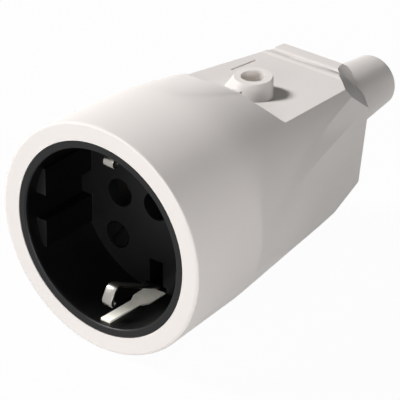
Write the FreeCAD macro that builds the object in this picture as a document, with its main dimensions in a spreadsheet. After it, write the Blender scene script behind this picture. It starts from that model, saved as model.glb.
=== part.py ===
import FreeCAD, Part
import math
import os
import Sketcher

os.makedirs("parts", exist_ok=True)
doc = FreeCAD.newDocument("inline_socket")
V = FreeCAD.Vector

# Inline socket connector with an earthed round recess, laid on its side.
# X runs across, Y from the socket face to the cord end, Z upward.
# The socket face is the plane Y = 0 and the recess is centred on the Y axis.

# Driving sizes

sheet = doc.addObject("Spreadsheet::Sheet", "Sizes")
sheet.Label = "Sizes"
rows = []


class Size:
    """A number together with the sheet expression that it comes from."""

    def __init__(self, v, e):
        self.v = float(v)
        self.e = e

    @staticmethod
    def of(o):
        if isinstance(o, Size):
            return o
        return Size(o, repr(float(o)))

    def __add__(self, o):
        o = Size.of(o)
        return Size(self.v + o.v, "(%s + %s)" % (self.e, o.e))

    def __radd__(self, o):
        return Size.of(o) + self

    def __sub__(self, o):
        o = Size.of(o)
        return Size(self.v - o.v, "(%s - %s)" % (self.e, o.e))

    def __rsub__(self, o):
        return Size.of(o) - self

    def __mul__(self, o):
        o = Size.of(o)
        return Size(self.v * o.v, "(%s * %s)" % (self.e, o.e))

    def __rmul__(self, o):
        return Size.of(o) * self

    def __truediv__(self, o):
        o = Size.of(o)
        return Size(self.v / o.v, "(%s / %s)" % (self.e, o.e))

    def __neg__(self):
        return Size(-self.v, "(0 - %s)" % self.e)

    def root(self):
        return Size(math.sqrt(self.v), "sqrt(%s)" % self.e)


def size(name, value):
    row = len(rows) + 1
    rows.append(name)
    sheet.set("A%d" % row, name.replace("_", " "))
    sheet.set("B%d" % row, str(value))
    sheet.setAlias("B%d" % row, name)
    return Size(value, "Sizes.%s" % name)


# recess and its black dish
recess_r = size("recess_radius", 19.6)
dish_wall = size("dish_wall", 1.6)
recess_deep = size("recess_depth", 17.8)
floor_thick = size("floor_thickness", 3.2)
dish_gap = size("dish_clearance", 0.15)
pin_x = size("pin_offset", 9.5)
entry_r = size("pin_entry_radius", 3.1)
well_x = size("screw_well_across", 10.2)
well_z = size("screw_well_up", 10.0)
well_r = size("screw_well_radius", 3.0)
well_deep = size("screw_well_depth", 1.8)
slot_half = size("earth_slot_half_width", 1.75)
slot_in = size("earth_slot_inner", 12.6)
slot_out = size("earth_slot_outer", 20.35)
rib_reach = size("guide_rib_reach", 16.9)
rib_front = size("guide_rib_front", 3.3)
rib_low = size("guide_rib_inner", 2.9)
rib_high = size("guide_rib_outer", 9.0)

# white housing
face_r = size("face_radius", 25.4)
rim_round = size("face_rim_round", 0.7)
bell_end = size("bell_length", 21.8)
bell_r = size("bell_rear_radius", 24.3)
wall = size("housing_wall", 2.2)
tail_y = size("tail_station", 74.0)
end_y = size("end_station", 76.2)
tail_drop = size("tail_centre_drop", 2.03)
tail_r = size("tail_corner_radius", 17.3)
tail_top = size("tail_top", 11.4)
tail_bottom = size("tail_bottom", 16.0)
tail_up = size("tail_upper_half_width", 12.56)
tail_low = size("tail_lower_half_width", 11.71)
tail_corner = size("tail_bottom_corner", 24.5)
front_up = size("front_upper_half_width", 25.05)
front_corner = size("front_bottom_corner", 41.7)
lean_up = size("upper_side_lean", 0.0524)
lean_low = size("lower_side_lean", 0.1186)
end_taper = size("end_taper", 0.91)
ring_y = size("end_ring_station", 79.6)
ring_r = size("end_ring_radius", 8.7)
ring_widen = size("end_ring_widening", 4.8)

# flat panel on top
panel_mid = size("panel_height_at_boss", 13.87)
panel_fall = size("panel_fall", 0.113)
panel_wall_y = size("panel_wall_station", 37.5)
panel_wall_front = size("panel_wall_front_station", 35.9)
panel_wall_side = size("panel_wall_side_station", 39.6)
boss_y = size("boss_station", 49.75)
boss_r = size("boss_radius", 4.25)
boss_top = size("boss_top", 17.2)
boss_bevel = size("boss_bevel", 0.45)
boss_bore = size("boss_bore_radius", 2.35)
seat_z = size("screw_seat_height", 12.2)
hole_r = size("screw_hole_radius", 1.65)
line_x = size("panel_line_offset", 10.2)
wave_y = size("panel_wave_station", 67.9)
wave_long = size("panel_wave_length", 2.6)
wave_up = size("panel_wave_rise", 0.3)
wave_down = size("panel_wave_fall", 0.42)

# cord sleeve
sleeve_r = size("cord_sleeve_radius", 7.25)
sleeve_gap = size("cord_sleeve_clearance", 0.05)
sleeve_tip_r = size("cord_sleeve_tip_radius", 5.75)
sleeve_end = size("cord_sleeve_end", 93.2)
neck_drop = size("cord_sleeve_drop", 0.45)
cord_r = size("cord_bore_radius", 4.5)
flange_r = size("sleeve_flange_radius", 8.6)
flange_thick = size("sleeve_flange_thickness", 2.0)

# metal parts
strip = size("strip_thickness", 0.8)
clip_half = size("clip_half_width", 1.1)
foot_half = size("clip_foot_half_width", 2.5)
tongue_z = size("clip_tongue_outer", 20.1)
contact_r = size("contact_outer_radius", 3.0)
contact_bore = size("contact_bore_radius", 2.45)
contact_front = size("contact_front", 23.0)
contact_end = size("contact_end", 33.0)
block_half = size("terminal_half_width", 3.5)
block_y = size("terminal_front", 35.0)
block_len = size("terminal_length", 10.0)
stub_r = size("contact_stub_radius", 1.5)
screw_r = size("screw_radius", 1.4)
head_r = size("screw_head_radius", 2.3)
head_h = size("screw_head_height", 1.6)
nut_half = size("nut_half_width", 2.7)
nut_h = size("nut_height", 2.4)

# carrier behind the dish
carrier_r = size("carrier_radius", 19.9)
carrier_thick = size("carrier_thickness", 4.0)
beam_half = size("beam_half_width", 5.5)
beam_low = size("beam_underside", 4.4)
beam_top = size("beam_top", 9.4)
beam_end = size("beam_end", 66.0)
clamp_half = size("clamp_half_width", 10.5)
clamp_len = size("clamp_length", 6.0)
clamp_screw_x = size("clamp_screw_offset", 7.5)
saddle_top = size("saddle_top", -4.2)
saddle_thick = size("saddle_thickness", 3.2)

doc.recompute()

dish_r = recess_r + dish_wall
floor_back = recess_deep + floor_thick
carrier_back = floor_back + carrier_thick


# Building helpers

def plane_of(body, role):
    for f in body.Origin.OriginFeatures:
        if f.Role == role:
            return f


def new_body(name):
    body = doc.addObject("PartDesign::Body", name)
    return body


def new_sketch(body, name, role, offset=None):
    sk = body.newObject("Sketcher::SketchObject", name)
    sk.AttachmentSupport = [(plane_of(body, role), "")]
    sk.MapMode = "FlatFace"
    if offset is not None:
        # the XZ plane looks along -Y, so its offset changes sign
        off = -offset if role == "XZ_Plane" else offset
        sk.AttachmentOffset = FreeCAD.Placement(V(0, 0, off.v), FreeCAD.Rotation())
        sk.setExpression("AttachmentOffset.Base.z", off.e)
    return sk


def pin_point(sk, g, pos, x, y):
    """Ties a sketch point to the sheet in both directions."""
    x = Size.of(x)
    y = Size.of(y)
    for kind, q, axis in (("DistanceX", x, -2), ("DistanceY", y, -1)):
        if abs(q.v) < 1e-9:
            sk.addConstraint(Sketcher.Constraint("PointOnObject", g, pos, axis))
            continue
        if q.v > 0:
            i = sk.addConstraint(Sketcher.Constraint(kind, -1, 1, g, pos, q.v))
        else:
            q = -q
            i = sk.addConstraint(Sketcher.Constraint(kind, g, pos, -1, 1, q.v))
        sk.setExpression("Constraints[%d]" % i, q.e)


def circle(sk, x, y, r):
    x = Size.of(x)
    y = Size.of(y)
    r = Size.of(r)
    g = sk.addGeometry(Part.Circle(V(x.v, y.v, 0), V(0, 0, 1), r.v), False)
    pin_point(sk, g, 3, x, y)
    i = sk.addConstraint(Sketcher.Constraint("Radius", g, r.v))
    sk.setExpression("Constraints[%d]" % i, r.e)


def polygon(sk, pts):
    pts = [(Size.of(x), Size.of(y)) for x, y in pts]
    first = sk.GeometryCount
    n = len(pts)
    for i in range(n):
        a = pts[i]
        b = pts[(i + 1) % n]
        line = Part.LineSegment(V(a[0].v, a[1].v, 0), V(b[0].v, b[1].v, 0))
        sk.addGeometry(line, False)
    for i in range(n):
        j = first + (i + 1) % n
        sk.addConstraint(Sketcher.Constraint("Coincident", first + i, 2, j, 1))
    for i in range(n):
        pin_point(sk, first + i, 1, pts[i][0], pts[i][1])


def outline(sk, start, steps):
    """Closed outline of lines and arcs. A step is an end point, or an end point and
    the height of an arc over its chord, to the left of the way that it runs."""
    here = (Size.of(start[0]), Size.of(start[1]))
    corners = [here]
    pieces = []
    for step in steps:
        there = (Size.of(step[0]), Size.of(step[1]))
        a = V(here[0].v, here[1].v, 0)
        b = V(there[0].v, there[1].v, 0)
        if len(step) == 2:
            g = sk.addGeometry(Part.LineSegment(a, b), False)
            pieces.append((g, 1, 2))
        else:
            rise = Size.of(step[2])
            way = (b - a).normalize()
            middle = (a + b) * 0.5 + V(-way.y, way.x, 0) * rise.v
            if rise.v > 0:
                g = sk.addGeometry(Part.Arc(b, middle, a), False)
                pieces.append((g, 2, 1))
            else:
                g = sk.addGeometry(Part.Arc(a, middle, b), False)
                pieces.append((g, 1, 2))
            dx = there[0] - here[0]
            dy = there[1] - here[1]
            chord = dx * dx + dy * dy
            high = rise if rise.v > 0 else -rise
            radius = (chord / 4 + high * high) / (2 * high)
            i = sk.addConstraint(Sketcher.Constraint("Radius", g, radius.v))
            sk.setExpression("Constraints[%d]" % i, radius.e)
        corners.append(there)
        here = there
    for k, piece in enumerate(pieces):
        after = pieces[(k + 1) % len(pieces)]
        sk.addConstraint(Sketcher.Constraint("Coincident", piece[0], piece[2], after[0], after[1]))
        pin_point(sk, piece[0], piece[1], corners[k][0], corners[k][1])


def box_outline(sk, x0, x1, y0, y1):
    polygon(sk, [(x0, y0), (x1, y0), (x1, y1), (x0, y1)])


def bind(obj, prop, q):
    q = Size.of(q)
    setattr(obj, prop, q.v)
    obj.setExpression(prop, q.e)


def pad(body, sk, name, length, back=False, middle=False):
    f = body.newObject("PartDesign::Pad", name)
    f.Profile = sk
    bind(f, "Length", length)
    f.Reversed = back
    f.Midplane = middle
    return f


def pocket(body, sk, name, length, back=False, middle=False):
    f = body.newObject("PartDesign::Pocket", name)
    f.Profile = sk
    bind(f, "Length", length)
    f.Reversed = back
    f.Midplane = middle
    return f


def turned(body, sk, name):
    """A solid turned about the Y axis from a sketch on the YZ plane."""
    f = body.newObject("PartDesign::Revolution", name)
    f.Profile = sk
    f.ReferenceAxis = (sk, ["H_Axis"])
    f.Angle = 360.0
    return f


def along_y(body, name, y0, y1, draw, cut=False):
    """Outline drawn across X and Z, carried from y0 to y1."""
    sk = new_sketch(body, name + "_sketch", "XZ_Plane", Size.of(y0))
    draw(sk)
    length = Size.of(y1) - Size.of(y0)
    if cut:
        return pocket(body, sk, name, length, back=False)
    return pad(body, sk, name, length, back=True)


def along_z(body, name, z0, z1, draw, cut=False):
    """Outline drawn across X and Y, carried from z0 up to z1."""
    sk = new_sketch(body, name + "_sketch", "XY_Plane", Size.of(z0))
    draw(sk)
    length = Size.of(z1) - Size.of(z0)
    if cut:
        return pocket(body, sk, name, length, back=True)
    return pad(body, sk, name, length)


def along_x(body, name, half, draw, cut=False):
    """Outline drawn across Y and Z, carried both ways from the middle."""
    sk = new_sketch(body, name + "_sketch", "YZ_Plane")
    draw(sk)
    if cut:
        return pocket(body, sk, name, 2 * Size.of(half), middle=True)
    return pad(body, sk, name, 2 * Size.of(half), middle=True)


def loft(body, name, y0, y1, draw0, draw1):
    a = new_sketch(body, name + "_front", "XZ_Plane", Size.of(y0))
    draw0(a)
    b = new_sketch(body, name + "_rear", "XZ_Plane", Size.of(y1))
    draw1(b)
    f = body.newObject("PartDesign::AdditiveLoft", name)
    f.Profile = a
    f.Sections = [b]
    f.Ruled = True
    return f


def boolean(kind, name, objs):
    if kind == "Cut":
        f = doc.addObject("Part::Cut", name)
        f.Base = objs[0]
        f.Tool = objs[1]
    elif kind == "Fuse":
        f = doc.addObject("Part::MultiFuse", name)
        f.Shapes = objs
    else:
        f = doc.addObject("Part::MultiCommon", name)
        f.Shapes = objs
    f.Refine = True
    return f


nodes = {}


def keep(name, obj):
    obj.Label = name
    nodes[name] = obj
    return obj


# Housing, outside form

def at(y, front, rear):
    """Value on a straight line between the bell's end and the tail."""
    y = Size.of(y)
    return front + (rear - front) * (y - bell_end) / (tail_y - bell_end)


front_low = bell_r * (1 + lean_low * lean_low).root()


def panel_z(y):
    return panel_mid - panel_fall * (Size.of(y) - boss_y)


def flank(name, side, slope, front, tail, inset, rear):
    """Everything inward of one flat flank. Its half width at the level Z = 0 falls from
    front to tail, then faster to the cord end, and it changes with height by slope."""
    body = new_body(name)
    s = new_sketch(body, name + "_sketch", "XY_Plane")
    ahead = bell_end - 3
    far = Size.of(90)
    drop = (front - tail) * 3 / (tail_y - bell_end)
    pts = [
        (-far, ahead), (front + drop - inset, ahead), (tail - inset, tail_y),
        (tail - inset - end_taper * (rear - tail_y), rear), (-far, rear)]
    if side < 0:
        pts = [(-x, y) for x, y in reversed(pts)]
    polygon(s, pts)
    f = pad(body, s, name + "_pad", 64, middle=True)
    f.UseCustomVector = True
    f.Direction = V(side * Size.of(slope).v, 0, 1)
    f.setExpression("Direction.x", (side * Size.of(slope)).e)
    return body


def flanks(name, inset, rear):
    made = []
    for side, word in ((1, "right"), (-1, "left")):
        made.append(flank(name + "_upper_" + word, side, -lean_up, front_up, tail_up, inset, rear))
        made.append(flank(name + "_lower_" + word, side, lean_low, front_low, tail_low, inset, rear))
        made.append(flank(name + "_corner_" + word, side, Size.of(1), front_corner, tail_corner, inset * 1.4, rear))
    return made


b = new_body("bell")
sk = new_sketch(b, "bell_profile", "YZ_Plane")
bell_slope = (face_r - bell_r) / bell_end
polygon(sk, [
    (0, 0), (0, face_r - rim_round), (rim_round * 0.3, face_r - rim_round * 0.3),
    (rim_round, face_r - bell_slope * rim_round), (bell_end, bell_r), (bell_end, 0)])
turned(b, sk, "bell_turned")
bell = b

b = new_body("rear_round")
loft(b, "rear_round_loft", bell_end, end_y,
     lambda s: circle(s, 0, 0, bell_r),
     lambda s: circle(s, 0, -tail_drop, tail_r))
rear_round = b

b = new_body("rear_side_view")
along_x(b, "rear_side_prism", 40,
        lambda s: polygon(s, [
            (bell_end - 3, -bell_r - 3), (bell_end, -bell_r), (tail_y, -tail_bottom),
            (ring_y, -tail_bottom + end_taper * (ring_y - tail_y)),
            (ring_y, tail_top), (tail_y, tail_top), (bell_end, bell_r), (bell_end - 3, bell_r + 3)]))
rear_side = b

b = new_body("end_ring")
sk = new_sketch(b, "end_ring_profile", "YZ_Plane")
polygon(sk, [
    (tail_y - 1, 0), (tail_y - 1, ring_r + ring_widen), (end_y - 0.7, ring_r + ring_widen),
    (ring_y, ring_r), (ring_y, 0)])
turned(b, sk, "end_ring_turned")
b.Placement = FreeCAD.Placement(V(0, 0, -neck_drop.v), FreeCAD.Rotation())
b.setExpression("Placement.Base.z", (-neck_drop).e)
end_ring = b

# the panel keeps its full width to its rear edge
b = new_body("panel_lip")
along_z(b, "panel_lip_block", 9.2, tail_top,
        lambda s: box_outline(s, -tail_up + 0.45, tail_up - 0.45, tail_y - 2, end_y))
panel_lip = b

rear_bulk = boolean("Fuse", "rear_bulk", [rear_round, end_ring])
rear_flats = boolean("Common", "rear_flats", [rear_side] + flanks("rear", Size.of(0), ring_y))
rear = boolean("Common", "rear_form", [rear_bulk, rear_flats])
outside = boolean("Fuse", "outside_form", [bell, rear, panel_lip])

# Housing, cuts

b = new_body("panel_fall_prism")
ahead = panel_wall_y - 1
# two shallow rolls across the panel, a raised one and then a sunk one
rolls = []
for k in range(9):
    y = wave_y + wave_long * (k / 4)
    height = wave_up if k < 4 else wave_down
    rolls.append((y, panel_z(y) + height * round(math.sin(math.pi * k / 4), 3)))
along_x(b, "panel_side_view", 30,
        lambda s: polygon(s, [(ahead, panel_z(ahead))] + rolls + [
            (end_y, panel_z(end_y)),
            (ring_y + 3, panel_z(end_y) - 0.75 * (ring_y + 3 - end_y)),
            (ring_y + 3, 40), (ahead, 40)]))
side_prism = b

b = new_body("panel_plan_prism")
near_x = Size.of(7.4)
turn_x = Size.of(14.2)
edge_x = Size.of(15.6)
along_z(b, "panel_plan", 2, 42,
        lambda s: outline(s, (-near_x, panel_wall_front), [
            (near_x, panel_wall_front, panel_wall_y - panel_wall_front),
            (turn_x, panel_wall_side, -0.4),
            (edge_x, panel_wall_side + 2.2, -0.25),
            (30, panel_wall_side + 10), (30, ring_y + 4), (-30, ring_y + 4), (-30, panel_wall_side + 10),
            (-edge_x, panel_wall_side + 2.2), (-turn_x, panel_wall_side, -0.25),
            (-near_x, panel_wall_front, -0.4)]))
plan_prism = b
panel_cut = boolean("Common", "panel_cut", [side_prism, plan_prism])


def relief(name, forward):
    """Slanting cut that takes off the tail's right corner beside the cord sleeve."""
    body = new_body(name)
    s = new_sketch(body, name + "_sketch", "XY_Plane", Size.of(11.5))
    back = ring_y + 14
    outline(s, (17.2, 61.6 - forward), [
        (30, 61.6 - forward), (30, back), (3.5, back), (3.5, 76.0 - forward),
        (6.2, 71.15 - forward, -0.62), (17.2, 61.6 - forward)])
    f = pad(body, s, name + "_pad", 44, middle=True)
    f.UseCustomVector = True
    f.Direction = V(0, -0.732, 0.681)
    return body


relief_cut = relief("corner_relief", Size.of(0))
relief_inner = relief("corner_relief_inner", wall + 0.8)

b = new_body("front_bore")
sk = new_sketch(b, "front_bore_profile", "YZ_Plane")
bore_r = dish_r + dish_gap
throat_r = dish_r - 0.3
throat_end = panel_wall_front - wall
polygon(sk, [
    (-1, 0), (-1, bore_r), (floor_back, bore_r), (floor_back, throat_r),
    (throat_end, bell_r - (bell_r - tail_top) * (throat_end - bell_end) / (tail_y - bell_end) - wall), (throat_end, 0)])
turned(b, sk, "front_bore_turned")
front_bore = b

inner_y0 = Size.of(30)
inner_y1 = Size.of(73.4)
b = new_body("inner_round")
loft(b, "inner_round_loft", inner_y0, inner_y1,
     lambda s: circle(s, 0, -(tail_drop * (inner_y0 - bell_end) / (end_y - bell_end)),
                      bell_r + (tail_r - bell_r) * (inner_y0 - bell_end) / (end_y - bell_end) - wall),
     lambda s: circle(s, 0, -(tail_drop * (inner_y1 - bell_end) / (end_y - bell_end)),
                      bell_r + (tail_r - bell_r) * (inner_y1 - bell_end) / (end_y - bell_end) - wall))
inner_round = b
b = new_body("inner_side_view")
bottom_fall = (bell_r - tail_bottom) / (tail_y - bell_end)
along_x(b, "inner_side_prism", 40,
        lambda s: polygon(s, [
            (inner_y0, -bell_r + bottom_fall * (inner_y0 - bell_end) + wall),
            (inner_y1, -bell_r + bottom_fall * (inner_y1 - bell_end) + wall),
            (inner_y1, panel_z(inner_y1) - wall), (inner_y0, panel_z(inner_y0) - wall)]))
inner_side = b
inner_common = boolean("Common", "inner_form", [inner_round, inner_side] + flanks("inner", wall, inner_y1 + 1))
inner = boolean("Cut", "inner_relieved", [inner_common, relief_inner])

b = new_body("cord_passage")
sk = new_sketch(b, "cord_passage_profile", "YZ_Plane")
passage_r = sleeve_r + sleeve_gap
polygon(sk, [(inner_y1 - 3, 0), (inner_y1 - 3, passage_r), (ring_y + 3, passage_r), (ring_y + 3, 0)])
turned(b, sk, "cord_passage_turned")
b.Placement = FreeCAD.Placement(V(0, 0, -neck_drop.v), FreeCAD.Rotation())
b.setExpression("Placement.Base.z", (-neck_drop).e)
passage = b

cuts = boolean("Fuse", "housing_cuts", [panel_cut, relief_cut, front_bore, inner, passage])
shell = boolean("Cut", "housing_shell", [outside, cuts])

# Housing, boss with the fastening screw's well

b = new_body("boss")
along_z(b, "boss_column", beam_top + 0.05, boss_top, lambda s: circle(s, 0, boss_y, boss_r))
doc.recompute()
edge = [
    "Edge%d" % (i + 1)
    for i, e in enumerate(b.Shape.Edges)
    if isinstance(e.Curve, Part.Circle) and abs(e.CenterOfMass.z - boss_top.v) < 1e-3
]
column = b.Tip
f = b.newObject("PartDesign::Chamfer", "boss_edge")
f.Base = (column, edge[:1])
bind(f, "Size", boss_bevel)
boss = b
# web from the boss down the panel's front wall
b = new_body("boss_web")
along_x(b, "boss_web_plate", 1.1,
        lambda s: polygon(s, [
            (panel_wall_y - 0.5, panel_z(panel_wall_y) - 0.5),
            (boss_y, panel_z(boss_y) - 0.5),
            (boss_y, boss_top - 1.3),
            (panel_wall_y - 0.5, boss_top - 0.9)]))
boss_web = b
with_boss = boolean("Fuse", "housing_with_boss", [shell, boss, boss_web])

b = new_body("boss_bore")
along_z(b, "boss_bore_wide", seat_z, boss_top + 1, lambda s: circle(s, 0, boss_y, boss_bore))
along_z(b, "boss_bore_narrow", beam_top - 1, seat_z + 0.5, lambda s: circle(s, 0, boss_y, hole_r))
boss_cut = b
b = new_body("panel_line")
line_y0 = boss_y + 5.7
line_y1 = boss_y + 14.1
along_x(b, "panel_line_prism", 0.25,
        lambda s: polygon(s, [
            (line_y0, panel_z(line_y0) - 0.35), (line_y1, panel_z(line_y1) - 0.35),
            (line_y1, panel_z(line_y1) + 1), (line_y0, panel_z(line_y0) + 1)]))
b.Placement = FreeCAD.Placement(V(-line_x.v, 0, 0), FreeCAD.Rotation())
b.setExpression("Placement.Base.x", (-line_x).e)
panel_line = b
marks = boolean("Fuse", "housing_marks", [boss_cut, panel_line])
keep("housing", boolean("Cut", "housing_body", [with_boss, marks]))

# Socket dish

b = new_body("socket_dish_body")
sk = new_sketch(b, "dish_profile", "YZ_Plane")
polygon(sk, [
    (0, recess_r + 0.3), (0, dish_r), (floor_back, dish_r), (floor_back, 0),
    (recess_deep, 0), (recess_deep, recess_r), (0.3, recess_r)])
turned(b, sk, "dish_turned")


def four_ribs(s):
    root_high = (recess_r * recess_r - rib_high * rib_high).root() + 0.9
    for sx in (-1, 1):
        for sz in (-1, 1):
            polygon(s, [
                (sx * rib_reach, sz * rib_low), (sx * (recess_r + 0.5), sz * rib_low),
                (sx * root_high, sz * rib_high), (sx * rib_reach, sz * rib_high)])


along_y(b, "guide_ribs", rib_front, recess_deep + 0.5, four_ribs)


def floor_holes(s):
    for x in (-pin_x, Size.of(0), pin_x):
        circle(s, x, 0, entry_r)
    for sg in (-1, 1):
        circle(s, sg * well_x, sg * well_z, 1.6)


along_y(b, "floor_openings", recess_deep - 0.5, floor_back + 1, floor_holes, cut=True)


def wells(s):
    for sg in (-1, 1):
        circle(s, sg * well_x, sg * well_z, well_r)


along_y(b, "screw_wells", recess_deep - 0.5, recess_deep + well_deep, wells, cut=True)


def earth_slots(s):
    box_outline(s, -slot_half, slot_half, -slot_out, -slot_in)
    box_outline(s, -slot_half, slot_half, slot_in, slot_out)


along_y(b, "earth_slots", recess_deep - 0.5, floor_back + 1, earth_slots, cut=True)


def tongue_beds(half):
    def draw(s):
        box_outline(s, -half, half, -slot_out, -(recess_r - 1.4))
        box_outline(s, -half, half, recess_r - 1.4, slot_out)
    return draw


along_y(b, "tongue_beds_narrow", 3.2, recess_deep + 0.1, tongue_beds(clip_half + 0.15), cut=True)
along_y(b, "tongue_beds_wide", 11.0, floor_back + 1, tongue_beds(foot_half + 0.15), cut=True)
keep("socket_dish", b)

# Carrier that holds the live parts behind the dish

b = new_body("terminal_base_body")
along_y(b, "carrier_plate", floor_back, carrier_back, lambda s: circle(s, 0, 0, carrier_r))


def screw_posts(s):
    for sg in (-1, 1):
        circle(s, sg * well_x, sg * well_z, 3.2)


along_y(b, "screw_posts", floor_back + 1, carrier_back + 6, screw_posts)
shelf_end = block_y + block_len + 1.2


def shelves(s):
    for sx in (-1, 1):
        x0 = sx * pin_x - block_half - 0.9
        box_outline(s, x0, x0 + 2 * block_half + 1.8, -block_half - 2.8, -block_half - 0.05)


along_y(b, "terminal_shelves", floor_back + 1, shelf_end, shelves)


def shelf_stops(s):
    for sx in (-1, 1):
        x0 = sx * pin_x - block_half - 0.9
        box_outline(s, x0, x0 + 2 * block_half + 1.8, -block_half - 0.5, -1.9)


along_y(b, "terminal_stops", block_y + block_len + 0.05, shelf_end, shelf_stops)
along_y(b, "beam", floor_back + 1, beam_end, lambda s: box_outline(s, -beam_half, beam_half, beam_low, beam_top))
clamp_y = beam_end - clamp_len
along_y(b, "clamp_bar", clamp_y, beam_end,
        lambda s: box_outline(s, -clamp_half, clamp_half, beam_low, beam_top - 1.0))


def carrier_holes(s):
    for x in (-pin_x, pin_x):
        circle(s, x, 0, contact_r + 0.05)
    circle(s, 0, 0, entry_r)
    for sg in (-1, 1):
        circle(s, sg * well_x, sg * well_z, screw_r)
    circle(s, 0, -9.5, stub_r + 0.05)


along_y(b, "carrier_holes", floor_back - 1, carrier_back + 7, carrier_holes, cut=True)
groove = strip + strip
along_y(b, "yoke_groove", floor_back - 1, floor_back + groove,
        lambda s: box_outline(s, -foot_half - 0.15, foot_half + 0.15, -21, 21), cut=True)
along_y(b, "yoke_ring_groove", floor_back - 1, floor_back + groove,
        lambda s: circle(s, 0, 0, 5.35), cut=True)
f = along_z(b, "beam_screw_hole", beam_low - 1, beam_top + 1, lambda s: circle(s, 0, boss_y, hole_r), cut=True)
along_z(b, "nut_pocket", beam_low - 1, beam_low + nut_h + 0.05,
        lambda s: box_outline(s, -nut_half - 0.05, nut_half + 0.05, boss_y - nut_half - 0.05, boss_y + nut_half + 0.05),
        cut=True)


def clamp_holes(s):
    for x in (-clamp_screw_x, clamp_screw_x):
        circle(s, x, beam_end - clamp_len / 2, screw_r)


along_z(b, "clamp_holes", beam_low - 1, beam_low + 3.5, clamp_holes, cut=True)
keep("terminal_base", b)

# Contact sleeves with their spring rings


def contact(name, x):
    body = new_body(name + "_body")
    along_y(body, name + "_tube", contact_front, contact_end, lambda s: circle(s, x, 0, contact_r))
    along_y(body, name + "_stub", contact_end - 0.5, block_y + 3, lambda s: circle(s, x, 0, stub_r))
    along_y(body, name + "_bore", floor_back - 1, contact_end - 1,
            lambda s: circle(s, x, 0, contact_bore), cut=True)
    along_y(body, name + "_slit", floor_back - 1, contact_end - 3,
            lambda s: box_outline(s, x - 0.4, x + 0.4, -4, 4), cut=True)
    return keep(name, body)


def spring_ring(name, x):
    body = new_body(name + "_body")
    y0 = carrier_back + 1.2
    along_y(body, name + "_band", y0, y0 + 3.2, lambda s: circle(s, x, 0, contact_r + 0.45))
    along_y(body, name + "_inside", y0 - 1, y0 + 5, lambda s: circle(s, x, 0, contact_r), cut=True)
    along_y(body, name + "_gap", y0 - 1, y0 + 5,
            lambda s: box_outline(s, x - 0.7, x + 0.7, 1, 5), cut=True)
    return keep(name, body)


contact("contact_sleeve_left", -pin_x)
contact("contact_sleeve_right", pin_x)
spring_ring("sleeve_spring_left", -pin_x)
spring_ring("sleeve_spring_right", pin_x)

# Terminals


def terminal(name, x):
    body = new_body(name + "_body")
    along_y(body, name + "_block", block_y, block_y + block_len,
            lambda s: box_outline(s, x - block_half, x + block_half, -block_half, block_half))
    along_y(body, name + "_front_hole", block_y - 1, block_y + 3,
            lambda s: circle(s, x, 0, stub_r), cut=True)
    along_y(body, name + "_wire_hole", block_y + 4.5, block_y + block_len + 1,
            lambda s: circle(s, x, 0, 1.7), cut=True)
    along_z(body, name + "_screw_hole", 0, block_half + 1,
            lambda s: circle(s, x, block_y + 7, screw_r), cut=True)
    return keep(name, body)


terminal("terminal_block_left", -pin_x)
terminal("terminal_block_right", pin_x)


def screw_up(name, x, y, seat, tip, slot=True):
    """Screw standing along Z with its head above the seat."""
    body = new_body(name + "_body")
    along_z(body, name + "_shank", tip, seat + 0.4, lambda s: circle(s, x, y, screw_r))
    along_z(body, name + "_head", seat, seat + head_h, lambda s: circle(s, x, y, head_r))
    if slot:
        along_z(body, name + "_slot", seat + head_h - 0.6, seat + head_h + 1,
                lambda s: box_outline(s, x - 3, x + 3, y - 0.35, y + 0.35), cut=True)
    return keep(name, body)


def screw_down(name, x, y, seat, tip):
    """Screw standing along Z with its head below the seat."""
    body = new_body(name + "_body")
    along_z(body, name + "_shank", seat - 0.4, tip, lambda s: circle(s, x, y, screw_r))
    along_z(body, name + "_head", seat - head_h, seat, lambda s: circle(s, x, y, head_r))
    along_z(body, name + "_slot", seat - head_h - 1, seat - head_h + 0.6,
            lambda s: box_outline(s, x - 3, x + 3, y - 0.35, y + 0.35), cut=True)
    return keep(name, body)


screw_up("terminal_screw_left", -pin_x, block_y + 7, block_half, Size.of(0.2))
screw_up("terminal_screw_right", pin_x, block_y + 7, block_half, Size.of(0.2))

# Earth clips, yoke and terminal


def earth_clip(name, sg):
    body = new_body(name + "_body")
    back = floor_back + 2 * strip
    tongue_in = tongue_z - strip
    arm = [
        (back, -18.2), (17.5, -18.1), (6.5, -13.0), (5.4, -13.15), (2.9, -16.3),
        (3.5, -16.85), (5.75, -14.1), (6.35, -13.95), (17.3, -18.9), (back, -19.0)]
    along_x(body, name + "_arm", clip_half, lambda s: polygon(s, [(y, -sg * Size.of(z)) for y, z in arm]))
    z0, z1 = sg * tongue_in, sg * tongue_z
    if sg < 0:
        z0, z1 = z1, z0
    along_z(body, name + "_tongue", z0, z1,
            lambda s: polygon(s, [
                (-clip_half, 3.6), (clip_half, 3.6), (clip_half, 11.2), (foot_half, 13.0),
                (foot_half, back), (-foot_half, back), (-foot_half, 13.0), (-clip_half, 11.2)]))
    lo, hi = (Size.of(12.5), tongue_z) if sg > 0 else (-tongue_z, Size.of(-12.5))
    along_y(body, name + "_foot", floor_back + strip, back,
            lambda s: box_outline(s, -foot_half, foot_half, lo, hi))
    return keep(name, body)


earth_clip("earth_clip_top", 1)
earth_clip("earth_clip_bottom", -1)

b = new_body("earth_yoke_body")
along_y(b, "yoke_strip", floor_back, floor_back + strip,
        lambda s: box_outline(s, -foot_half, foot_half, -15.6, 15.6))
along_y(b, "yoke_ring", floor_back, floor_back + strip, lambda s: circle(s, 0, 0, 5.2))
along_y(b, "yoke_centre", floor_back - 1, floor_back + 2, lambda s: circle(s, 0, 0, entry_r + 0.2), cut=True)
along_y(b, "yoke_stub_hole", floor_back - 1, floor_back + 2, lambda s: circle(s, 0, -9.5, stub_r), cut=True)
keep("earth_yoke", b)

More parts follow.
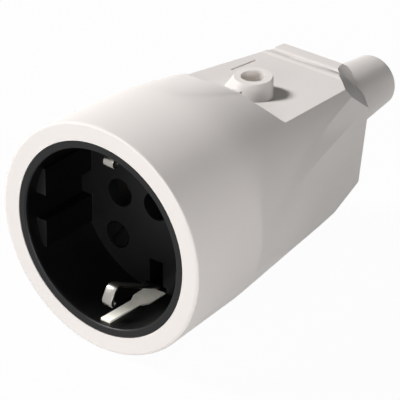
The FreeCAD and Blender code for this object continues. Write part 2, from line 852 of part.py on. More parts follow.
b = new_body("earth_terminal_block_body")
earth_y1 = carrier_back + 9
along_y(b, "earth_block", carrier_back, earth_y1, lambda s: box_outline(s, -block_half, block_half, -13, -6))
along_y(b, "earth_stub", floor_back, carrier_back + 0.5, lambda s: circle(s, 0, -9.5, stub_r))
along_y(b, "earth_wire_hole", carrier_back + 3, earth_y1 + 1, lambda s: circle(s, 0, -9.5, 1.7), cut=True)
along_z(b, "earth_screw_hole", -14, -9.5, lambda s: circle(s, 0, carrier_back + 6, screw_r), cut=True)
keep("earth_terminal_block", b)
screw_down("earth_terminal_screw", Size.of(0), carrier_back + 6, Size.of(-13), Size.of(-9.7))

# Screws in the recess floor


def face_screw(name, x, z, turn):
    body = new_body(name + "_body")
    seat = recess_deep + well_deep
    along_y(body, name + "_shank", seat - 0.4, carrier_back + 5, lambda s: circle(s, x, z, screw_r))
    along_y(body, name + "_head", seat - head_h, seat, lambda s: circle(s, x, z, well_r - 0.25))
    c, n = math.cos(math.radians(turn)), math.sin(math.radians(turn))
    corners = [(-4, -0.38), (4, -0.38), (4, 0.38), (-4, 0.38)]
    pts = [(x + (u * c - v * n), z + (u * n + v * c)) for u, v in corners]
    along_y(body, name + "_slot", seat - head_h - 1, seat - head_h + 0.7,
            lambda s: polygon(s, pts), cut=True)
    return keep(name, body)


face_screw("face_screw_lower", -well_x, -well_z, 52)
face_screw("face_screw_upper", well_x, well_z, 35)

# Screw and nut that hold the housing to the carrier

b = new_body("housing_screw_body")
along_z(b, "housing_screw_shank", beam_low, seat_z + 0.4, lambda s: circle(s, 0, boss_y, screw_r))
along_z(b, "housing_screw_head", seat_z, seat_z + head_h, lambda s: circle(s, 0, boss_y, boss_bore - 0.15))
along_z(b, "housing_screw_slot", seat_z + head_h - 0.7, seat_z + head_h + 1,
        lambda s: box_outline(s, -3, 3, boss_y - 0.35, boss_y + 0.35), cut=True)
keep("housing_screw", b)

b = new_body("housing_nut_body")
along_z(b, "nut_block", beam_low, beam_low + nut_h,
        lambda s: box_outline(s, -nut_half, nut_half, boss_y - nut_half, boss_y + nut_half))
along_z(b, "nut_thread", beam_low - 1, beam_low + nut_h + 1, lambda s: circle(s, 0, boss_y, screw_r), cut=True)
keep("housing_nut", b)

# Cord clamp

b = new_body("cord_clamp_saddle_body")
saddle_low = saddle_top - saddle_thick
along_y(b, "saddle_bar", clamp_y, beam_end, lambda s: box_outline(s, -clamp_half, clamp_half, saddle_low, saddle_top))
along_y(b, "saddle_hollow", clamp_y - 1, beam_end + 1, lambda s: circle(s, 0, 0, cord_r), cut=True)
along_z(b, "saddle_holes", saddle_low - 1, saddle_top + 1, clamp_holes, cut=True)
keep("cord_clamp_saddle", b)
screw_down("cord_clamp_screw_left", -clamp_screw_x, beam_end - clamp_len / 2, saddle_low, beam_low + 3.4)
screw_down("cord_clamp_screw_right", clamp_screw_x, beam_end - clamp_len / 2, saddle_low, beam_low + 3.4)

# Cord sleeve

b = new_body("cable_sleeve_body")
sk = new_sketch(b, "cable_sleeve_profile", "YZ_Plane")
flange_y1 = inner_y1 - 0.05
polygon(sk, [
    (flange_y1 - flange_thick, cord_r), (flange_y1 - flange_thick, flange_r),
    (flange_y1, flange_r), (flange_y1, sleeve_r), (ring_y - 1, sleeve_r),
    (sleeve_end - 0.9, sleeve_tip_r + 0.05), (sleeve_end - 0.25, sleeve_tip_r - 0.3),
    (sleeve_end, sleeve_tip_r - 0.95), (sleeve_end, cord_r)])
turned(b, sk, "cable_sleeve_turned")
b.Placement = FreeCAD.Placement(V(0, 0, -neck_drop.v), FreeCAD.Rotation())
b.setExpression("Placement.Base.z", (-neck_drop).e)
keep("cable_sleeve", b)

doc.recompute()

bad = []
for o in doc.Objects:
    if "Invalid" in o.State or "Error" in o.State:
        bad.append(o.Name)
for name, o in nodes.items():
    s = o.Shape
    if s.isNull() or not s.isValid() or len(s.Solids) != 1:
        bad.append("%s has %d solids" % (name, 0 if s.isNull() else len(s.Solids)))
if bad:
    raise RuntimeError("not sound: " + ", ".join(bad))

for name, o in nodes.items():
    o.Shape.exportStep("parts/%s.step" % name)
    box = o.Shape.BoundBox
    print("%-24s %8.1f mm3  X %.2f %.2f  Y %.2f %.2f  Z %.2f %.2f" % (
        name, o.Shape.Volume, box.XMin, box.XMax, box.YMin, box.YMax, box.ZMin, box.ZMax))
print("nodes", len(nodes))
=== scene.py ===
import math

import bpy
from bpy.props import FloatProperty, FloatVectorProperty, PointerProperty
from mathutils import Matrix, Vector


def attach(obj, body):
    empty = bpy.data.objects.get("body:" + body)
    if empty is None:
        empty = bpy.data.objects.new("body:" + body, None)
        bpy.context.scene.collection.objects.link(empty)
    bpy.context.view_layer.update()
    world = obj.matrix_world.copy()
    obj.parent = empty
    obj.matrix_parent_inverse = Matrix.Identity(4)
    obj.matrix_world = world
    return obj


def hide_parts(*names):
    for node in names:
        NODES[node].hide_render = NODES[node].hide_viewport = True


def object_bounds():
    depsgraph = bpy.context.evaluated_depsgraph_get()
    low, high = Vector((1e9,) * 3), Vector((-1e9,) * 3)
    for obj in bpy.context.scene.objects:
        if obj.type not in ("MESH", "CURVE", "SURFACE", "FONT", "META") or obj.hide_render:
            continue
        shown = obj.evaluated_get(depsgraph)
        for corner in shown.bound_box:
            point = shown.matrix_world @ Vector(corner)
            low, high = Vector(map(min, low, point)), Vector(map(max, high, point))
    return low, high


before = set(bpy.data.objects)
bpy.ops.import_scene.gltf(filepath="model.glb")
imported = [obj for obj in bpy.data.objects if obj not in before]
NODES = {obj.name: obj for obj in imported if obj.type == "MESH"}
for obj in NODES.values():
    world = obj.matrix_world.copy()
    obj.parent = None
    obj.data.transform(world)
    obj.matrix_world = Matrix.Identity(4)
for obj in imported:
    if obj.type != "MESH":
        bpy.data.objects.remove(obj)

bl_info = {
    "name": "Inline Socket Connector",
    "version": (1, 0, 0),
    "blender": (4, 5, 0),
    "location": "View3D > Sidebar > Inline Socket",
    "description": "Dresses an earthed inline socket connector and sets its studio",
    "category": "Object",
}

CAD_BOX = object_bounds()
MM = 0.001

# Outer form of the shell, in millimetres and shares, as the solid has it

BELL_END = 21.8
TAIL_TAPER = 0.1287
TAIL_DROP = 0.0373
FRONT_RIM = 0.9
REAR_RIM = 75.8
PANEL_LEVEL, PANEL_FALL = 19.14, 0.113
PANEL_WALL, PANEL_WALL_SLANT = 36.3, 3.7
PANEL_WALL_TURN = (55.0, 200.0)  # across, squared
CORNER_REACH, CORNER_BY_HEIGHT, CORNER_BY_WIDTH = 91.3, 1.075, 1.03
RIDGE_LEVEL, RIDGE_RISE = 2.74, 0.0302
RIDGE_START, RIDGE_FULL = 34.0, 54.0

# How widely the bell flows into the tail: little low down, and more near the top

FLOW_LOW, FLOW_HIGH = 3.0, 17.0
FLOW_LEAST, FLOW_MORE = 0.6, 11.0
SAME_WAY = (0.86, 0.91)

# Boss of the fastening screw, in metres

FOOT_PLACE = (0.0002, 0.0472, 0.0155)
FOOT_RADIUS, FOOT_TOP_RADIUS = 0.0057, 0.00405
FOOT_HEIGHT = 0.0034
FOOT_LEAN = (-0.0002, 0.00255, 0.0)
WELL_PLACE = (0.0, 0.04975, 0.0152)
WELL_RADIUS = 0.0026
WELL_DEPTH = 0.006
ROUND_STEPS = 64

# Recess of the dish, in millimetres from the face

RECESS_LIP = 0.8
RECESS_FLOOR = 17.6
# Behind this depth the strips are painted near black, as painted shade inside the shell
STRIP_SHADED_FROM = 17.9

# Strips of the earth clips: points (y, z) and half widths, in millimetres

SPRUNG_ARM = [
    (22.4, 18.6), (17.6, 18.5), (14.0, 16.9), (5.6, 12.75), (4.9, 12.45), (4.1, 12.5),
    (3.5, 12.95), (2.7, 14.2), (2.3, 14.9), (2.2, 15.6), (2.5, 16.1), (3.0, 16.2),
    (3.4, 15.9), (3.4, 15.4)]
FLAT_ARM = [
    (22.4, 18.6), (17.6, 18.5), (12.0, 17.7), (5.4, 17.1), (4.4, 17.25), (3.7, 17.0),
    (3.2, 16.4), (3.2, 15.7), (3.7, 15.1), (4.4, 15.1), (4.9, 15.6), (4.8, 16.2)]
ARM_HALF = 1.25
ARM_TIP_HALVES = [1.2, 1.1]
ARM_THICKNESS = 0.45
BLADE = [(22.4, 19.8), (16.5, 19.75), (13.2, 19.7), (11.2, 19.65), (6.0, 19.5), (1.5, 19.35)]
BLADE_HALVES = [2.4, 2.4, 2.3, 1.3, 1.25, 1.2]
BLADE_THICKNESS = 0.6

# Stage, in metres: name, setting of the power, place and side of each lamp

LAMPS = (
    ("key_lamp", "key_power", (-0.63, -0.16, 0.61), 0.2),
    ("front_lamp", "front_power", (0.22, -0.84, 0.27), 0.4),
    ("side_lamp", "side_power", (0.70, -0.50, 0.08), 0.35),
)
LAMP_AIM = (0.0, 0.04, 0.0)
FLOOR_SIDE = 6.0
FLOOR_WHITE = 0.97  # share of plain white in what the camera sees of the floor


# Settings that a user would change

class FinishSettings(bpy.types.PropertyGroup):
    """Colours and gloss of the connector's materials."""

    white: FloatVectorProperty(
        name="Shell colour", description="Colour of the white moulded shell",
        subtype="COLOR", default=(0.83, 0.785, 0.755), min=0.0, max=1.0)
    white_roughness: FloatProperty(
        name="Shell roughness", description="How dull the white shell is",
        default=0.42, min=0.0, max=1.0, subtype="FACTOR")
    black: FloatVectorProperty(
        name="Dish colour", description="Colour of the black recess",
        subtype="COLOR", default=(0.0055, 0.0055, 0.006), min=0.0, max=1.0)
    black_roughness: FloatProperty(
        name="Dish roughness", description="How dull the black recess is",
        default=0.40, min=0.0, max=1.0, subtype="FACTOR")
    plating: FloatVectorProperty(
        name="Plating colour", description="Colour of the plated clips and screws",
        subtype="COLOR", default=(0.70, 0.67, 0.62), min=0.0, max=1.0)
    brass: FloatVectorProperty(
        name="Brass colour", description="Colour of the contact sleeves and terminals",
        subtype="COLOR", default=(0.72, 0.53, 0.24), min=0.0, max=1.0)


class StudioSettings(bpy.types.PropertyGroup):
    """Camera, lamps and floor."""

    camera_place: FloatVectorProperty(
        name="Camera place", description="Where the camera stands",
        subtype="TRANSLATION", unit="LENGTH", default=(0.403207, -0.470687, 0.347382))
    camera_turn: FloatProperty(
        name="Camera turn", description="Turn of the view about the vertical",
        subtype="ANGLE", default=math.radians(38.723))
    camera_height: FloatProperty(
        name="Camera height", description="Angle of the view above the horizon",
        subtype="ANGLE", default=math.radians(28.636))
    lens: FloatProperty(
        name="Lens", description="Focal length in millimetres on a 36 mm sensor",
        default=320.11, min=10.0)
    key_power: FloatProperty(
        name="Key lamp", description="Power of the lamp at the upper left, in watts",
        default=9.4, min=0.0)
    front_power: FloatProperty(
        name="Front lamp", description="Power of the lamp before the socket face, in watts",
        default=2.8, min=0.0)
    side_power: FloatProperty(
        name="Side lamp", description="Power of the lamp at the right, in watts",
        default=4.0, min=0.0)
    sky_level: FloatProperty(
        name="Sky", description="Level of the soft light from all round",
        default=0.01, min=0.0)
    floor_colour: FloatVectorProperty(
        name="Floor colour", description="Colour of the plain pale floor",
        subtype="COLOR", default=(0.55, 0.55, 0.55), min=0.0, max=1.0)


# Node helpers

class Socket:
    """A shader value that can be used in ordinary arithmetic."""

    def __init__(self, tree, out):
        self.tree = tree
        self.out = out

    def other(self, key):
        """Another output of the same node."""
        return Socket(self.tree, self.out.node.outputs[key])

    def _math(self, kind, a, b):
        node = self.tree.nodes.new("ShaderNodeMath")
        node.operation = kind
        for slot, value in zip(node.inputs, (a, b)):
            if isinstance(value, Socket):
                self.tree.links.new(value.out, slot)
            else:
                slot.default_value = value
        return Socket(self.tree, node.outputs[0])

    def __add__(self, other):
        return self._math("ADD", self, other)

    def __radd__(self, other):
        return self._math("ADD", other, self)

    def __sub__(self, other):
        return self._math("SUBTRACT", self, other)

    def __rsub__(self, other):
        return self._math("SUBTRACT", other, self)

    def __mul__(self, other):
        return self._math("MULTIPLY", self, other)

    def __rmul__(self, other):
        return self._math("MULTIPLY", other, self)

    def __gt__(self, other):
        return self._math("GREATER_THAN", self, other)

    def __lt__(self, other):
        return self._math("LESS_THAN", self, other)


class Graph:
    """The nodes of one material or sky."""

    def __init__(self, tree):
        self.tree = tree

    def feed(self, slot, value):
        if isinstance(value, Socket):
            self.tree.links.new(value.out, slot)
        else:
            slot.default_value = value

    def node(self, kind, settings=None, inputs=None, out=0):
        """Adds any node other than plain maths and gives one of its outputs."""
        made = self.tree.nodes.new(kind)
        for key, value in (settings or {}).items():
            setattr(made, key, value)
        for key, value in (inputs or {}).items():
            self.feed(made.inputs[key], value)
        return Socket(self.tree, made.outputs[out])

    def seen(self):
        """1 for what the camera sees, straight or in a reflection, and 0 for light."""
        rays = self.node("ShaderNodeLightPath", out="Is Camera Ray")
        return rays + rays.other("Is Glossy Ray") + rays.other("Is Transmission Ray")


class Finish(Graph):
    """A material under construction."""

    def __init__(self, name):
        self.material = bpy.data.materials.new(name)
        self.material.use_nodes = True
        super().__init__(self.material.node_tree)
        self.shader = self.tree.nodes["Principled BSDF"]
        self.coords = self.node("ShaderNodeTexCoord", out="Object")

    def place(self):
        """The three coordinates of the point, in millimetres."""
        x = self.node("ShaderNodeSeparateXYZ", inputs={"Vector": self.coords})
        return [part * 1000.0 for part in (x, x.other(1), x.other(2))]

    def facing(self):
        return self.node("ShaderNodeNewGeometry", out="Normal")

    def noise(self, scale, detail=2.0, roughness=0.5, stretch=None):
        where = self.coords
        if stretch is not None:
            where = self.node("ShaderNodeMapping", inputs={"Vector": where, "Scale": stretch})
        return self.node("ShaderNodeTexNoise", inputs={
            "Vector": where, "Scale": scale, "Detail": detail, "Roughness": roughness})

    def blend(self, share, first, second):
        """Mixes two colours."""
        return self.node("ShaderNodeMix", {"data_type": "RGBA"}, {0: share, 6: first, 7: second}, 2)

    def vector(self, kind, *terms):
        out = "Value" if kind in ("DOT_PRODUCT", "LENGTH") else "Vector"
        return self.node("ShaderNodeVectorMath", {"operation": kind}, dict(enumerate(terms)), out)

    def turn_between(self, share, first, second):
        """A direction that goes from the first to the second as the share goes to 1."""
        mixed = self.node("ShaderNodeMix", {"data_type": "VECTOR"}, {0: share, 4: first, 5: second}, 1)
        return self.vector("NORMALIZE", mixed)

    def ramp(self, value, low, high):
        """Rises smoothly from 0 to 1 as the value goes from low to high."""
        return self.node(
            "ShaderNodeMapRange", {"interpolation_type": "SMOOTHSTEP"},
            {"Value": value, "From Min": low, "From Max": high})

    def set(self, **values):
        for key, value in values.items():
            self.feed(self.shader.inputs[key.replace("_", " ")], value)

    def bump(self, height, strength, distance, under=None):
        inputs = {"Height": height, "Strength": strength, "Distance": distance}
        if under is not None:
            inputs["Normal"] = under
        self.set(Normal=self.node("ShaderNodeBump", inputs=inputs))
        return self.material


def shade(colour, factor):
    return tuple(min(1.0, c * factor) for c in colour) + (1.0,)


# Finishes

def flowing_form(made):
    """Normals of the moulded shell, where the bell flows into the tail with no edge.

    The long ridge on each side keeps its edge towards the cord, and so do the panel,
    the boss, the slanting corner and both ends."""
    x, y, z = made.place()
    soft = made.ramp(z, FLOW_LOW, FLOW_HIGH) * FLOW_MORE + FLOW_LEAST
    tail = made.ramp(y, BELL_END - 0.5 * soft, BELL_END + soft)
    up = z + tail * (y - BELL_END) * TAIL_DROP
    across = made.vector("LENGTH", made.node("ShaderNodeCombineXYZ", inputs={"X": x, "Z": up}))
    lean = tail * (across * TAIL_TAPER + up * TAIL_DROP)
    leaning = made.node("ShaderNodeCombineXYZ", inputs={"X": x, "Y": lean, "Z": up})
    round_way = made.vector("NORMALIZE", leaning)
    flat_way = made.facing()
    outside = made.ramp(made.vector("DOT_PRODUCT", round_way, flat_way), *SAME_WAY)
    length = (y > FRONT_RIM) * (y < REAR_RIM)
    wall = PANEL_WALL + made.ramp(x * x, *PANEL_WALL_TURN) * PANEL_WALL_SLANT
    panel = (y > wall) * (z > PANEL_LEVEL - PANEL_FALL * y)
    corner = (y + CORNER_BY_HEIGHT * z) > (CORNER_REACH - CORNER_BY_WIDTH * x)
    below = z < (RIDGE_LEVEL + RIDGE_RISE * y)
    ridge = below * made.ramp(y, RIDGE_START, RIDGE_FULL)
    share = outside * length * (1.0 - panel) * (1.0 - corner) * (1.0 - ridge)
    return made.turn_between(share, flat_way, round_way)


def moulded_white(name, finish, tone=1.0, shell=False):
    """Satin white plastic with the faint unevenness of a moulded surface."""
    made = Finish(name)
    cloud = made.noise(55.0)
    grain = made.noise(2600.0, 3.0, 0.6)
    flow = made.noise(160.0, 1.0, stretch=(1.0, 0.25, 1.0))
    colour = made.blend(cloud, shade(finish.white, tone * 0.985), shade(finish.white, tone * 1.01))
    made.set(
        Base_Color=colour, Roughness=finish.white_roughness - 0.06 + 0.12 * flow,
        IOR=1.49, Specular_IOR_Level=0.14)
    under = flowing_form(made) if shell else None
    return made.bump(grain * 0.6 + flow * 0.4, 0.05, 0.0002, under)


def moulded_black(name, finish, lift=1.0, recess=False):
    """Dark, fairly glossy plastic with light scuffs. The side faces inside the recess are painted
    darker, as painted shade.
    """
    made = Finish(name)
    cloud = made.noise(180.0, 3.0)
    grain = made.noise(3200.0, 3.0, 0.6)
    scuffs = made.noise(420.0, 4.0, 0.7, stretch=(1.0, 0.15, 1.0))
    colour = made.blend(cloud, shade(finish.black, 0.8 * lift), shade(finish.black, 1.5 * lift))
    # Painted shade: with recess set, the side faces between the lip and the floor get a near-black
    # colour where the recess shades them
    if recess:
        depth = made.place()[1]
        side_on = made.vector("DOT_PRODUCT", made.facing(), (0.0, -1.0, 0.0)) < 0.9
        wall_shade_mask = (depth > RECESS_LIP) * (depth < RECESS_FLOOR) * side_on
        colour = made.blend(wall_shade_mask, colour, shade(finish.black, 0.12))
    made.set(
        Base_Color=colour, Roughness=finish.black_roughness - 0.07 + 0.18 * scuffs,
        IOR=1.5, Specular_IOR_Level=0.25)
    return made.bump(grain * 0.5 + scuffs * 0.5, 0.08, 0.0002)


def plated_metal(name, finish, tint=1.0, roughness=0.26, shade_from=None):
    """Nickel plating over pressed strip, with drawing lines along it.

    Behind the recess floor, from shade_from in millimetres, the strip is painted near black as painted
    shade."""
    made = Finish(name)
    lines = made.noise(900.0, 3.0, 0.6, stretch=(3.0, 0.12, 1.0))
    spots = made.noise(350.0, 3.0)
    colour = made.blend(spots, shade(finish.plating, 0.82 * tint), shade(finish.plating, 1.08 * tint))
    # Painted shade: near black from shade_from on
    if shade_from is not None:
        colour = made.blend(made.place()[1] > shade_from, colour, (0.01, 0.01, 0.01, 1.0))
    made.set(Base_Color=colour, Metallic=1.0, Roughness=roughness - 0.05 + 0.16 * lines)
    return made.bump(lines, 0.12, 0.0001)


def plain_brass(name, finish, tint=1.0):
    """Machined brass, slightly dulled. A tint under 1 darkens the colour as painted shade."""
    made = Finish(name)
    lines = made.noise(1200.0, stretch=(1.0, 4.0, 1.0))
    spots = made.noise(260.0, 3.0)
    colour = made.blend(spots, shade(finish.brass, 0.75 * tint), shade(finish.brass, 1.1 * tint))
    made.set(Base_Color=colour, Metallic=1.0, Roughness=0.28 + 0.14 * lines)
    return made.bump(lines, 0.1, 0.0001)


def paint(mesh, material):
    mesh.materials.clear()
    mesh.materials.append(material)


def dress(names, material):
    for name in names:
        paint(NODES[name].data, material)


# Modelling

def mode(name):
    bpy.ops.object.mode_set(mode=name)


def combine(body, tool, operation):
    """Joins a tool shape to the body, or cuts it out, and takes the tool away."""
    bpy.context.view_layer.objects.active = body
    step = body.modifiers.new("combine", "BOOLEAN")
    step.operation = operation
    step.solver = "EXACT"
    step.object = tool
    bpy.ops.object.modifier_apply(modifier="combine")
    bpy.data.objects.remove(tool)


def boss_foot(shell):
    """Flares the boss out at its foot, on the side towards the bell."""
    mode("OBJECT")
    bpy.ops.object.select_all(action="DESELECT")
    bpy.ops.mesh.primitive_cone_add(
        vertices=ROUND_STEPS, radius1=FOOT_RADIUS, radius2=FOOT_TOP_RADIUS,
        depth=FOOT_HEIGHT, location=FOOT_PLACE)
    foot = bpy.context.object
    mode("EDIT")
    bpy.ops.mesh.select_all(action="DESELECT")
    mode("OBJECT")
    for vertex in foot.data.vertices:
        vertex.select = vertex.co.z > 0.0
    mode("EDIT")
    bpy.ops.transform.translate(value=FOOT_LEAN)
    mode("OBJECT")
    combine(shell, foot, "UNION")
    bpy.ops.object.select_all(action="DESELECT")
    bpy.ops.mesh.primitive_cylinder_add(
        vertices=ROUND_STEPS, radius=WELL_RADIUS, depth=WELL_DEPTH, location=WELL_PLACE)
    combine(shell, bpy.context.object, "DIFFERENCE")
    shell.select_set(True)
    mode("EDIT")


def round_edges(piece, width, steps, sharp, smooth):
    """Bevels the edges sharper than one angle and smooths those under the other."""
    soften = piece.modifiers.new("edges", "BEVEL")
    soften.width = width
    soften.segments = steps
    soften.limit_method = "ANGLE"
    soften.angle_limit = math.radians(sharp)
    bpy.ops.object.modifier_apply(modifier="edges")
    bpy.ops.object.shade_smooth_by_angle(angle=math.radians(smooth))


def worked_copy(name, node, rounding, steps, sharp, material, change=None):
    """A copy of a CAD node with its edges rounded, which stands for the node."""
    bpy.ops.object.select_all(action="DESELECT")
    piece = bpy.data.objects.new(name, NODES[node].data.copy())
    bpy.context.scene.collection.objects.link(piece)
    bpy.context.view_layer.objects.active = piece
    piece.select_set(True)
    mode("EDIT")
    bpy.ops.mesh.select_all(action="SELECT")
    bpy.ops.mesh.remove_doubles(threshold=2e-6)
    bpy.ops.mesh.customdata_custom_splitnormals_clear()
    if change is not None:
        change(piece)
        bpy.ops.mesh.select_all(action="SELECT")
    bpy.ops.mesh.dissolve_limited(angle_limit=math.radians(0.4))
    mode("OBJECT")
    round_edges(piece, rounding, steps, sharp, sharp)
    even = piece.modifiers.new("even", "WEIGHTED_NORMAL")
    even.mode = "FACE_AREA"
    even.keep_sharp = True
    bpy.ops.object.modifier_apply(modifier="even")
    paint(piece.data, material)
    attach(piece, "root")
    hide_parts(node)
    return piece


def bent_strip(name, path, halves, thickness, material):
    """Sheet metal strip that follows points (y, z), in millimetres, centred on x = 0."""
    bpy.ops.object.select_all(action="DESELECT")
    points = [Vector((0.0, y, z)) * MM for y, z in path]
    bpy.ops.mesh.primitive_plane_add(size=2.0 * MM)
    piece = bpy.context.object
    piece.name = name
    for vertex in piece.data.vertices:
        end = 1 if vertex.co.y > 0.0 else 0
        side = 1.0 if vertex.co.x > 0.0 else -1.0
        vertex.co = points[end] + Vector((side * halves[end] * MM, 0.0, 0.0))
    for last, here, before, wide in zip(points[1:], points[2:], halves[1:], halves[2:]):
        mode("EDIT")
        bpy.ops.mesh.select_mode(type="EDGE")
        bpy.ops.mesh.select_all(action="DESELECT")
        mode("OBJECT")
        for edge in piece.data.edges:
            ends = [piece.data.vertices[i].co for i in edge.vertices]
            edge.select = all((Vector((0.0, p.y, p.z)) - last).length < 1e-6 for p in ends)
        mode("EDIT")
        bpy.ops.mesh.extrude_region_move(TRANSFORM_OT_translate={"value": here - last})
        bpy.ops.transform.resize(value=(wide / before, 1.0, 1.0), center_override=here)
        mode("OBJECT")
    sheet = piece.modifiers.new("sheet", "SOLIDIFY")
    sheet.thickness = thickness * MM
    sheet.offset = 0.0
    bpy.ops.object.modifier_apply(modifier="sheet")
    round_edges(piece, 0.09 * MM, 2, 50.0, 40.0)
    paint(piece.data, material)
    return piece


def earth_clip(name, node, side, arm, arm_finish, blade_finish):
    """Sprung arm with a curled tip over a flat blade, cut from one strip."""
    halves = [ARM_HALF] * (len(arm) - len(ARM_TIP_HALVES)) + ARM_TIP_HALVES
    upper = bent_strip(name, [(y, side * z) for y, z in arm], halves, ARM_THICKNESS, arm_finish)
    lower = bent_strip(
        name + "_blade", [(y, side * z) for y, z in BLADE], BLADE_HALVES, BLADE_THICKNESS,
        blade_finish)
    bpy.ops.object.select_all(action="DESELECT")
    lower.select_set(True)
    upper.select_set(True)
    bpy.context.view_layer.objects.active = upper
    bpy.ops.object.join()
    clip = bpy.context.object
    clip.matrix_world = Matrix.Identity(4)
    mode("EDIT")
    bpy.ops.mesh.select_all(action="SELECT")
    bpy.ops.mesh.normals_make_consistent(inside=False)
    mode("OBJECT")
    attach(clip, "root")
    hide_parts(node)
    return clip


# Stage

def set_floor(studio):
    """A plain pale floor under the connector, which keeps its shadow."""
    bpy.ops.object.select_all(action="DESELECT")
    bpy.ops.mesh.primitive_plane_add(size=FLOOR_SIDE, location=(0.0, 0.0, CAD_BOX[0][2]))
    floor = bpy.context.object
    floor.name = "studio_floor"
    floor.data.transform(floor.matrix_world)
    floor.matrix_world = Matrix.Identity(4)
    made = Finish("studio_floor_paint")
    speck = made.noise(9.0)
    colour = made.blend(speck, shade(studio.floor_colour, 0.99), shade(studio.floor_colour, 1.0))
    made.set(Base_Color=colour, Roughness=0.9)
    matt = Socket(made.tree, made.shader.outputs[0])
    glow = made.node("ShaderNodeEmission", inputs={"Color": (1.0, 1.0, 1.0, 1.0), "Strength": 1.0})
    mixed = made.node("ShaderNodeMixShader", inputs={0: made.seen() * FLOOR_WHITE, 1: matt, 2: glow})
    made.feed(made.tree.nodes["Material Output"].inputs["Surface"], mixed)
    floor.data.materials.append(made.material)


def set_lamp(name, place, side, power):
    """A square lamp that faces the middle of the connector."""
    bpy.ops.object.light_add(type="AREA", location=place)
    lamp = bpy.context.object
    lamp.name = name
    lamp.data.shape = "SQUARE"
    lamp.data.size = side
    lamp.data.energy = power
    aim = Vector(LAMP_AIM) - Vector(place)
    lamp.rotation_mode = "QUATERNION"
    lamp.rotation_quaternion = aim.to_track_quat("-Z", "Y")


def set_sky(scene, level):
    """White where the camera sees it, and faint as a light."""
    sky = bpy.data.worlds.new("studio_sky")
    scene.world = sky
    sky.use_nodes = True
    made = Graph(sky.node_tree)
    back = made.tree.nodes["Background"]
    back.inputs["Color"].default_value = (1.0, 1.0, 1.0, 1.0)
    made.feed(back.inputs["Strength"], made.seen() * (1.0 - level) + level)


def set_camera(scene, studio):
    """The camera at the photo's angle."""
    turn, rise = studio.camera_turn, studio.camera_height
    back_way = Vector((
        math.sin(turn) * math.cos(rise), -math.cos(turn) * math.cos(rise), math.sin(rise)))
    right_way = Vector((math.cos(turn), math.sin(turn), 0.0))
    up_way = back_way.cross(right_way)
    bpy.ops.object.camera_add()
    camera = bpy.context.object
    camera.name = "photo_camera"
    axes = Matrix((right_way, up_way, back_way)).transposed().to_4x4()
    camera.matrix_world = Matrix.Translation(Vector(studio.camera_place)) @ axes
    camera.data.sensor_width = 36.0
    camera.data.lens = studio.lens
    camera.data.clip_start = 0.01
    scene.camera = camera
    scene.view_settings.view_transform = "Standard"


# Operators

class SOCKET_OT_shell(bpy.types.Operator):
    """Finish the white shell and the cord sleeve."""

    bl_idname = "socket.shell"
    bl_label = "Shell and Sleeve"

    def execute(self, context):
        finish = context.scene.socket_finish
        shell = moulded_white("moulded_white_shell", finish, shell=True)
        worked_copy("shell", "housing", 0.14 * MM, 2, 28.0, shell, boss_foot)
        sleeve = moulded_white("moulded_white_sleeve", finish, 0.97)
        worked_copy("cord_sleeve", "cable_sleeve", 0.3 * MM, 3, 28.0, sleeve)
        return {"FINISHED"}


class SOCKET_OT_dish(bpy.types.Operator):
    """Finish the black dish and the carrier behind it."""

    bl_idname = "socket.dish"
    bl_label = "Dish and Carrier"

    def execute(self, context):
        finish = context.scene.socket_finish
        # recess=True paints shade onto the side faces inside the recess
        dish = moulded_black("moulded_black_dish", finish, recess=True)
        worked_copy("dish", "socket_dish", 0.25 * MM, 2, 35.0, dish)
        carrier = moulded_black("moulded_black_carrier", finish, 1.6)
        dress(["terminal_base", "cord_clamp_saddle"], carrier)
        return {"FINISHED"}


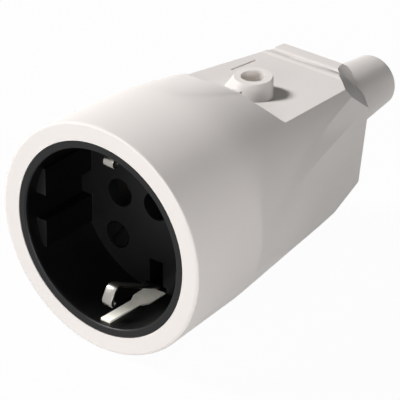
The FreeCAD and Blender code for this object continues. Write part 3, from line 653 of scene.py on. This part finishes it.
class SOCKET_OT_metal(bpy.types.Operator):
    """Finish the contacts, clips, terminals and screws."""

    bl_idname = "socket.metal"
    bl_label = "Metal Parts"

    def execute(self, context):
        finish = context.scene.socket_finish
        strip = plated_metal("nickel_strip", finish, 0.55, 0.28, STRIP_SHADED_FROM)
        # Painted light: the blade's plating is brightened by a tint of 1.4 so that it looks lit; its
        # roughness of 0.8 is its matt finish
        blade = plated_metal("brushed_blade", finish, 1.4, 0.8, STRIP_SHADED_FROM)
        earth_clip("clip_below", "earth_clip_bottom", -1.0, SPRUNG_ARM, strip, blade)
        earth_clip("clip_above", "earth_clip_top", 1.0, FLAT_ARM, strip, blade)
        dress(["earth_yoke"], strip)
        # Painted shade: the screws deep in the dish floor get plating darkened to a tint of 0.025,
        # near black
        dress(
            ["face_screw_lower", "face_screw_upper"],
            plated_metal("floor_screw_zinc", finish, 0.025, 0.45))
        dress([
            "terminal_screw_left", "terminal_screw_right", "earth_terminal_screw",
            "housing_screw", "housing_nut", "cord_clamp_screw_left", "cord_clamp_screw_right"],
            plated_metal("screw_zinc", finish, 0.9, 0.34))
        dress(
            ["sleeve_spring_left", "sleeve_spring_right"],
            plated_metal("spring_wire", finish, 0.7, 0.3))
        dress(
            ["terminal_block_left", "terminal_block_right", "earth_terminal_block"],
            plain_brass("terminal_brass", finish))
        # Painted shade: the contact sleeves' brass is darkened to a tint of 0.15 so that the pin holes
        # look dark
        dress(
            ["contact_sleeve_left", "contact_sleeve_right"],
            plain_brass("dull_brass", finish, 0.15))
        return {"FINISHED"}


class SOCKET_OT_stage(bpy.types.Operator):
    """Set the floor, the lamps, the sky and the camera."""

    bl_idname = "socket.stage"
    bl_label = "Studio"

    def execute(self, context):
        studio = context.scene.socket_studio
        set_floor(studio)
        for name, power, place, side in LAMPS:
            set_lamp(name, place, side, getattr(studio, power))
        set_sky(context.scene, studio.sky_level)
        set_camera(context.scene, studio)
        return {"FINISHED"}


class SOCKET_PT_panel(bpy.types.Panel):
    """Lists the operators of the connector."""

    bl_label = "Inline Socket"
    bl_idname = "SOCKET_PT_panel"
    bl_space_type = "VIEW_3D"
    bl_region_type = "UI"
    bl_category = "Inline Socket"

    def draw(self, context):
        for operator in OPERATORS:
            self.layout.operator(operator.bl_idname)


OPERATORS = (SOCKET_OT_shell, SOCKET_OT_dish, SOCKET_OT_metal, SOCKET_OT_stage)
CLASSES = (FinishSettings, StudioSettings) + OPERATORS + (SOCKET_PT_panel,)


def register():
    for cls in CLASSES:
        bpy.utils.register_class(cls)
    bpy.types.Scene.socket_finish = PointerProperty(type=FinishSettings)
    bpy.types.Scene.socket_studio = PointerProperty(type=StudioSettings)


def unregister():
    del bpy.types.Scene.socket_studio
    del bpy.types.Scene.socket_finish
    for cls in reversed(CLASSES):
        bpy.utils.unregister_class(cls)


def main():
    register()
    bpy.ops.socket.shell()
    bpy.ops.socket.dish()
    bpy.ops.socket.metal()
    bpy.ops.socket.stage()


if __name__ == "__main__":
    main()
